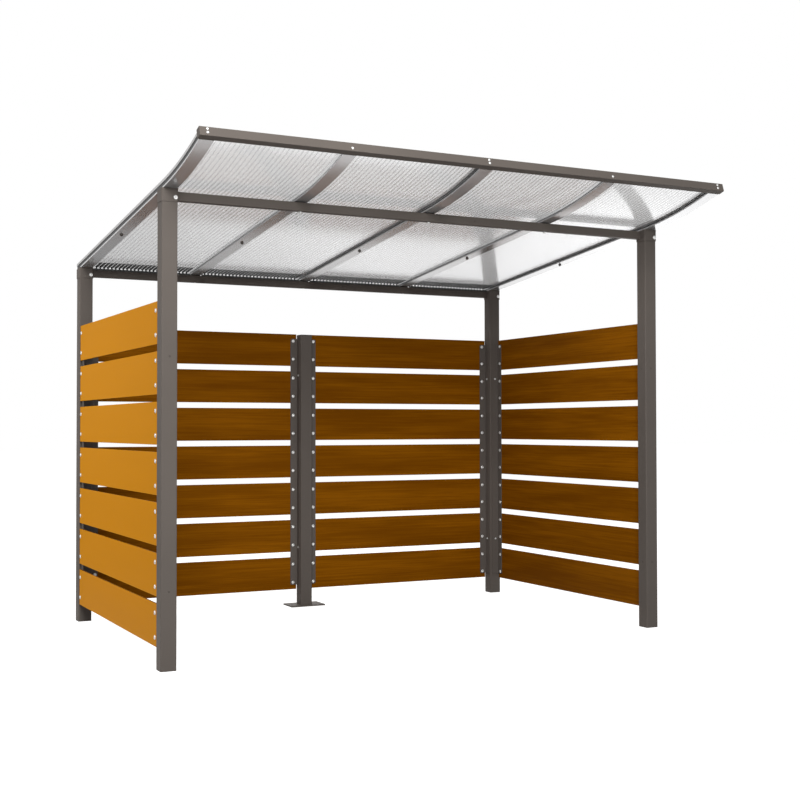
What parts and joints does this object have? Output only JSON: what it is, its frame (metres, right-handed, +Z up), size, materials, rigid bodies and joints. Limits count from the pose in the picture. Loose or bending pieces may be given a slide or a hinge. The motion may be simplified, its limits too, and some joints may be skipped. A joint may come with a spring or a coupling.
{
  "type": "bin shelter",
  "caption": "Open-fronted bin shelter: square posts, slatted board walls on three sides and a twin-wall canopy that sweeps up at the front.",
  "frame": {"origin": "on the ground, in the middle of the bounding box", "axes": "+X to the right along the open front, +Y to the back wall, +Z up"},
  "size_m": [3.006, 2.4968, 2.5234],
  "materials": {
    "painted_steel": "satin warm dark grey powder coat",
    "board": "smooth stained ochre board with fine lengthwise grain",
    "twin_wall_sheet": "clear twin-wall sheet with fine ribs running front to back",
    "trim_aluminium": "plain mill-finish aluminium",
    "gasket_rubber": "black rubber"
  },
  "bodies": {
    "root": {"angle_back_centre_left": "painted_steel", "angle_back_centre_right": "painted_steel", "angle_back_left": "painted_steel", "angle_back_right": "painted_steel", "angle_left_back": "painted_steel", "angle_left_front": "painted_steel", "angle_right_back": "painted_steel", "angle_right_front": "painted_steel", "back_beam": "painted_steel", "base_plate": "painted_steel", "boards_back_left": "board", "boards_back_right": "board", "boards_left": "board", "boards_right": "board", "fascia": "painted_steel", "fascia_end_cap_left": "painted_steel", "fascia_end_cap_right": "painted_steel", "front_beam": "painted_steel", "post_back_centre": "painted_steel", "post_back_left": "painted_steel", "post_back_right": "painted_steel", "post_front_left": "painted_steel", "post_front_right": "painted_steel", "post_head_back_left": "painted_steel", "post_head_back_right": "painted_steel", "post_head_front_left": "painted_steel", "post_head_front_right": "painted_steel", "rafter_centre": "painted_steel", "rafter_left": "painted_steel", "rafter_left_middle": "painted_steel", "rafter_right": "painted_steel", "rafter_right_middle": "painted_steel", "roof_sheet_left": "twin_wall_sheet", "roof_sheet_right": "twin_wall_sheet", "sheet_cover_centre": "trim_aluminium", "sheet_cover_left": "trim_aluminium", "sheet_cover_right": "trim_aluminium", "sheet_pad_left_middle": "gasket_rubber", "sheet_pad_right_middle": "gasket_rubber", "sheet_rest_centre": "trim_aluminium", "sheet_rest_left": "trim_aluminium", "sheet_rest_right": "trim_aluminium", "sheet_seals": "gasket_rubber"}
  },
  "joints": []
}
